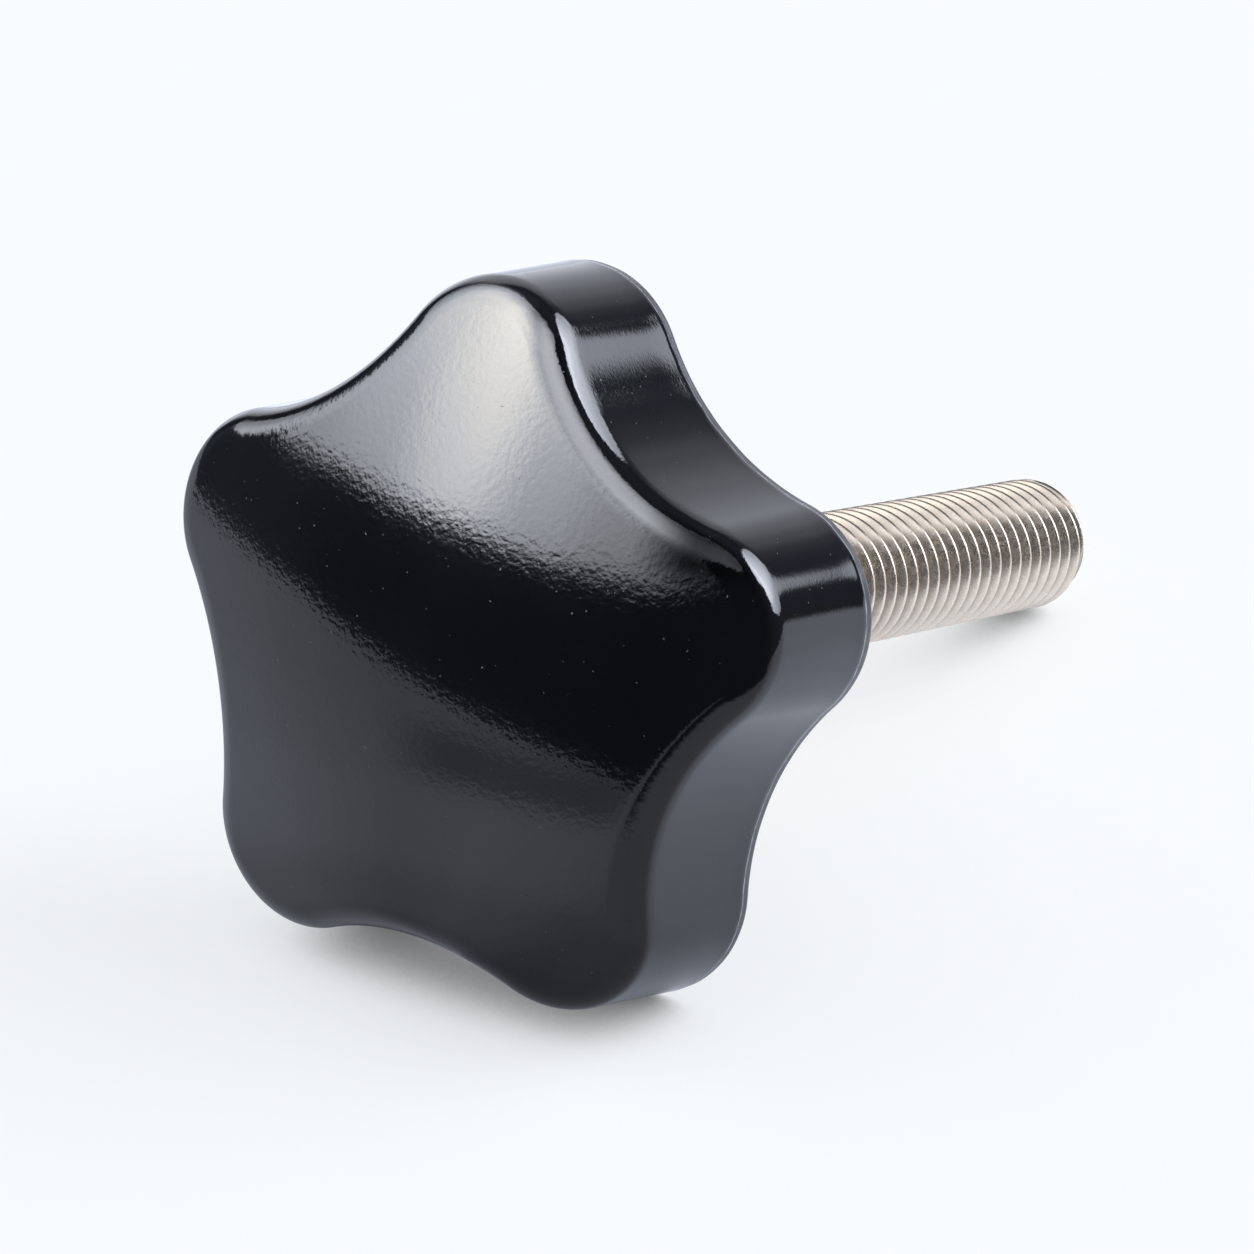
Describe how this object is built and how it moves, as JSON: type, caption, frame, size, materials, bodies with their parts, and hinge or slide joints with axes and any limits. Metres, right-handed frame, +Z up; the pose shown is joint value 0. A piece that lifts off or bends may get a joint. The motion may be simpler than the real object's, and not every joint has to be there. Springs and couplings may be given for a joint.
{
  "type": "star knob",
  "caption": "Lobed star knob in glossy black moulded plastic with a crowned face and a plain hub, and a bright metric threaded stud moulded into its back, lying on its rim and stud tip.",
  "frame": {"origin": "centre of the bounding box's footprint, on the surface the knob lies on", "axes": "+Z up; the crowned face looks towards -Y and a little up, with one lobe straight up; the stud runs towards +Y and slopes down to its tip; mirror plane at X = 0"},
  "size_m": [0.0482, 0.0808, 0.0471],
  "materials": {
    "grip_plastic": "moulded black thermoset, glossy with a fine orange peel",
    "stud_steel": "bright plated steel with a rolled thread"
  },
  "bodies": {
    "root": {"star_grip": "grip_plastic", "threaded_stud": "stud_steel"}
  },
  "joints": []
}
